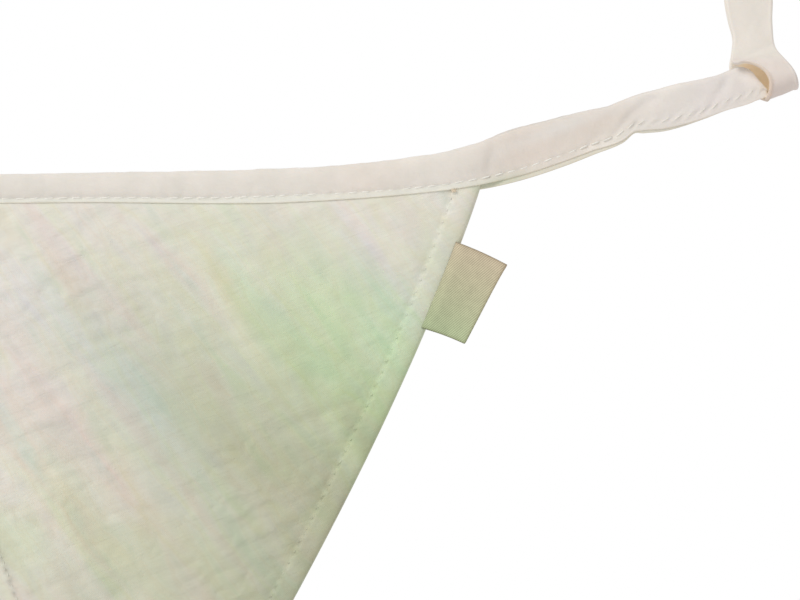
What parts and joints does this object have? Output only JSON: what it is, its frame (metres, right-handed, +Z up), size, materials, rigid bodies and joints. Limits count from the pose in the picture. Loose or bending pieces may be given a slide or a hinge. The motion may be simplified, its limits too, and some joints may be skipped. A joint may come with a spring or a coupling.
{
  "type": "fabric bunting",
  "caption": "Hanging bunting of topstitched muslin pennants bound in a folded fabric tape, with a strip loop at each end for hanging it up.",
  "frame": {"origin": "midway between the tops of the two hanging loops", "axes": "+Z up, the front faces -Y, and +X is to the right seen from the front"},
  "size_m": [1.1816, 0.0128, 0.2876],
  "materials": {
    "muslin": "matt crinkled cotton muslin, cream with faint pastel washes",
    "binding": "matt warm white plain cotton tape",
    "woven_label": "tan twill-woven satin label, slight sheen"
  },
  "bodies": {
    "root": {"pennant_1": "muslin", "pennant_2": "muslin", "pennant_3": "muslin", "pennant_4": "muslin", "pennant_5": "muslin", "tape": "binding", "loop_left": "binding", "loop_right": "binding", "label": "woven_label"}
  },
  "joints": []
}
